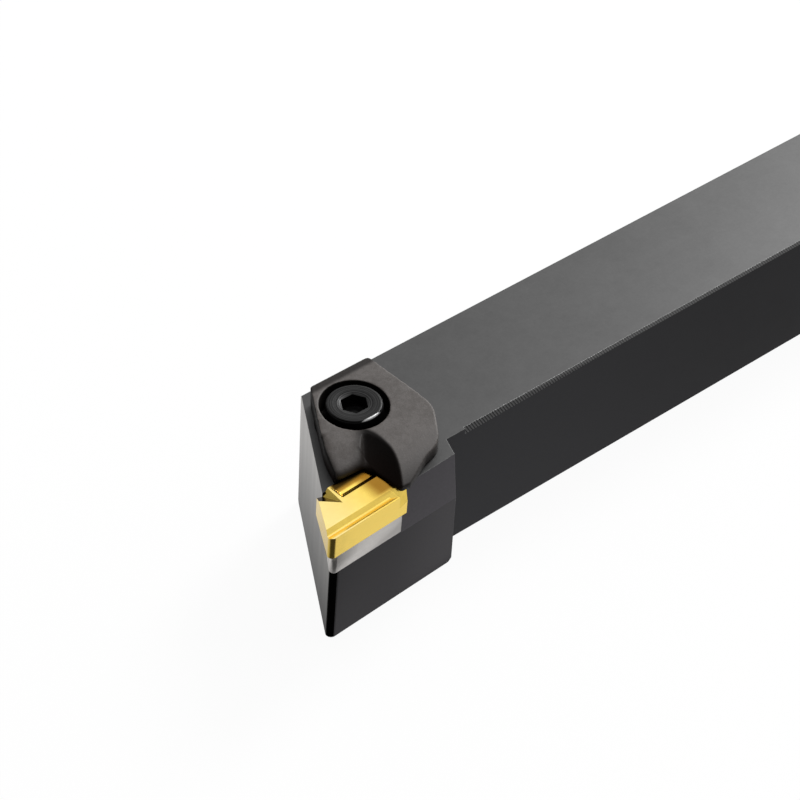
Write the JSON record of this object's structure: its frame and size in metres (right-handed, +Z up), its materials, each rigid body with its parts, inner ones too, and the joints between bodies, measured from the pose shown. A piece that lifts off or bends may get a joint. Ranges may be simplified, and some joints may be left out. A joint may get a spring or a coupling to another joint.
{
  "type": "turning tool holder",
  "caption": "Right-hand turning tool holder: square steel shank, angled head, and a screw clamp holding a long parallelogram carbide insert on a shim.",
  "frame": {"origin": "centre of the rear end face of the shank", "axes": "+X along the shank to the cutting tip, +Y to the cutting edge side, +Z up to the top of the shank"},
  "size_m": [0.15, 0.032, 0.0296],
  "materials": {
    "blackened_steel": "milled and blackened, satin; the end face is left brighter",
    "ground_carbide": "fine ground, satin",
    "spring_steel": "drawn, satin",
    "coated_carbide": "gold-coloured hard coating, semi-gloss",
    "phosphated_steel": "forged and phosphated, mottled brownish grey",
    "black_screw": "turned with fine rings, blackened",
    "hardened_steel": "centreless ground"
  },
  "bodies": {
    "holder": {"holder_body": "blackened_steel", "shim": "ground_carbide", "shim_pin": "spring_steel", "insert": "coated_carbide", "clamp_dowel": "hardened_steel", "clamp_spring": "spring_steel"},
    "clamp": {"clamp": "phosphated_steel"},
    "screw": {"clamp_screw": "black_screw"}
  },
  "joints": [
    {"name": "clamp_lift", "type": "slide", "parent": "holder", "child": "clamp", "axis": [0, 0, 1], "range_m": [0, 0.0025], "deforming": ["clamp_spring"]},
    {"name": "screw_turn", "type": "hinge", "parent": "clamp", "child": "screw", "pos_m": [0.1287, -0.0008, 0.0126], "axis": [0, 0, 1], "range_deg": [0, 900]}
  ],
  "couplings": [
    {"joint": "screw_turn", "follows": "clamp_lift", "rad_per_m": 6283.2}
  ]
}
